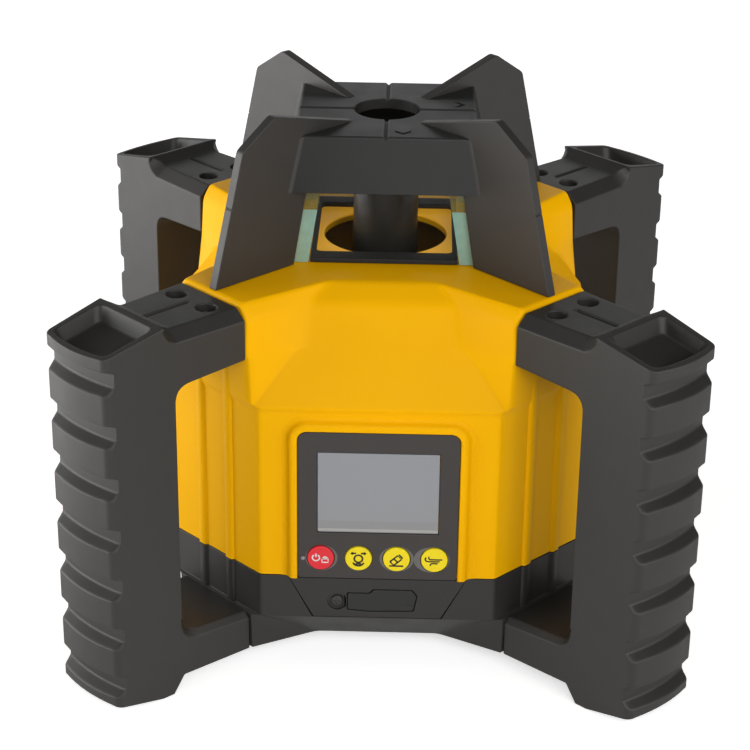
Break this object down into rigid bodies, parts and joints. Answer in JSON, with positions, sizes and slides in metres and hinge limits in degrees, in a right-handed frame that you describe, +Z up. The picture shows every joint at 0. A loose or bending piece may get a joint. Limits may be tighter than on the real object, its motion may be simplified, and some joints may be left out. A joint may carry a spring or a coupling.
{
  "type": "rotating laser level",
  "caption": "Rotating laser level: octagonal housing with a display and keys, corner carrying handles, and a glass lantern with a spinning beam head under a finned guard.",
  "frame": {"origin": "on the ground under the middle of the housing", "axes": "+Z up along the axis of the turning head, -Y out of the display side, +X to the right as seen from the front"},
  "size_m": [0.2572, 0.2572, 0.2286],
  "materials": {
    "yellow_plastic": "fine grained moulded plastic",
    "dark_plastic": "fine grained moulded plastic",
    "guard_plastic": "fine grained moulded plastic",
    "panel_plastic": "satin overlay film",
    "black_plastic": "smooth",
    "rubber": "matt",
    "red_key": "satin",
    "yellow_key": "satin",
    "screen": "clear cover over a grey display",
    "glass": "polished, green at the cut edges",
    "steel": "bright",
    "brass": "machined",
    "aluminium": "machined",
    "board": "solder mask"
  },
  "bodies": {
    "housing": {"base_tub": "dark_plastic", "upper_housing": "yellow_plastic", "housing_seal": "rubber", "handle_front_left": "dark_plastic", "handle_front_right": "dark_plastic", "handle_back_right": "dark_plastic", "handle_back_left": "dark_plastic", "screw_front_left_1": "steel", "screw_front_left_2": "steel", "screw_front_right_1": "steel", "screw_front_right_2": "steel", "screw_back_right_1": "steel", "screw_back_right_2": "steel", "screw_back_left_1": "steel", "screw_back_left_2": "steel", "guard_cap": "guard_plastic", "guard_leg_front_left": "guard_plastic", "guard_leg_front_right": "guard_plastic", "guard_leg_back_right": "guard_plastic", "guard_leg_back_left": "guard_plastic", "pane_left": "glass", "pane_right": "glass", "pane_front": "glass", "pane_back": "glass", "window_gasket": "rubber", "control_panel": "panel_plastic", "display": "screen", "main_board": "board", "port_plate": "dark_plastic", "flap_screw": "steel", "charging_socket": "black_plastic", "battery_pack": "black_plastic", "hinge_pin": "steel", "tripod_bush": "brass", "chassis": "aluminium", "levelling_motor_x": "steel", "levelling_motor_y": "steel"},
    "ring": {"gimbal_ring": "aluminium"},
    "beam_tube": {"laser_tube": "aluminium", "laser_module": "black_plastic", "collimating_lens": "glass", "lower_bearing": "steel", "upper_bearing": "steel", "spin_motor": "steel", "drive_belt": "rubber"},
    "head": {"rotor_head": "black_plastic", "spindle": "aluminium", "beam_window": "glass", "top_window": "glass", "five_sided_prism": "glass"},
    "pulley": {"motor_pulley": "brass"},
    "plunger_x": {"levelling_plunger_x": "brass"},
    "plunger_y": {"levelling_plunger_y": "brass"},
    "power": {"power_key": "red_key"},
    "mode": {"mode_key": "yellow_key"},
    "speed": {"speed_key": "yellow_key"},
    "scan": {"scan_key": "yellow_key"},
    "flap": {"port_flap": "rubber"},
    "door": {"battery_door": "yellow_plastic"},
    "lock": {"battery_lock": "dark_plastic"}
  },
  "joints": [
    {"name": "level_x", "type": "hinge", "parent": "housing", "child": "ring", "pos_m": [0, 0, 0.1035], "axis": [1, 0, 0], "range_deg": [-5, 5]},
    {"name": "level_y", "type": "hinge", "parent": "ring", "child": "beam_tube", "pos_m": [0, 0, 0.1035], "axis": [0, 1, 0], "range_deg": [-5, 5]},
    {"name": "head_spin", "type": "hinge", "parent": "beam_tube", "child": "head", "pos_m": [0, 0, 0.1505], "axis": [0, 0, 1], "continuous": true},
    {"name": "motor_spin", "type": "hinge", "parent": "beam_tube", "child": "pulley", "pos_m": [0, 0.031, 0.1395], "axis": [0, 0, 1], "continuous": true},
    {"name": "plunger_x_lift", "type": "slide", "parent": "housing", "child": "plunger_x", "axis": [0, 0, 1], "range_m": [-0.0044, 0.0044]},
    {"name": "plunger_y_lift", "type": "slide", "parent": "housing", "child": "plunger_y", "axis": [0, 0, 1], "range_m": [-0.0024, 0.0024]},
    {"name": "power_press", "type": "slide", "parent": "housing", "child": "power", "axis": [0, 1, 0], "range_m": [0, 0.0008], "stiffness_N_per_m": 500},
    {"name": "mode_press", "type": "slide", "parent": "housing", "child": "mode", "axis": [0, 1, 0], "range_m": [0, 0.0008], "stiffness_N_per_m": 500},
    {"name": "speed_press", "type": "slide", "parent": "housing", "child": "speed", "axis": [0, 1, 0], "range_m": [0, 0.0008], "stiffness_N_per_m": 500},
    {"name": "scan_press", "type": "slide", "parent": "housing", "child": "scan", "axis": [0, 1, 0], "range_m": [0, 0.0008], "stiffness_N_per_m": 500},
    {"name": "flap_swing", "type": "hinge", "parent": "housing", "child": "flap", "pos_m": [-0.0124, -0.0879, 0.0325], "axis": [0, 0, -1], "range_deg": [0, 120]},
    {"name": "door_swing", "type": "hinge", "parent": "housing", "child": "door", "pos_m": [0, 0.0898, 0.0472], "axis": [-1, 0, 0], "range_deg": [0, 100]},
    {"name": "lock_turn", "type": "hinge", "parent": "door", "child": "lock", "pos_m": [0, 0.0904, 0.102], "axis": [0, 1, 0], "range_deg": [0, 90]}
  ],
  "couplings": [
    {"joint": "motor_spin", "follows": "head_spin", "ratio": 3.3333},
    {"joint": "plunger_x_lift", "follows": "level_x", "m_per_rad": -0.05},
    {"joint": "plunger_y_lift", "follows": "level_y", "m_per_rad": -0.027}
  ]
}
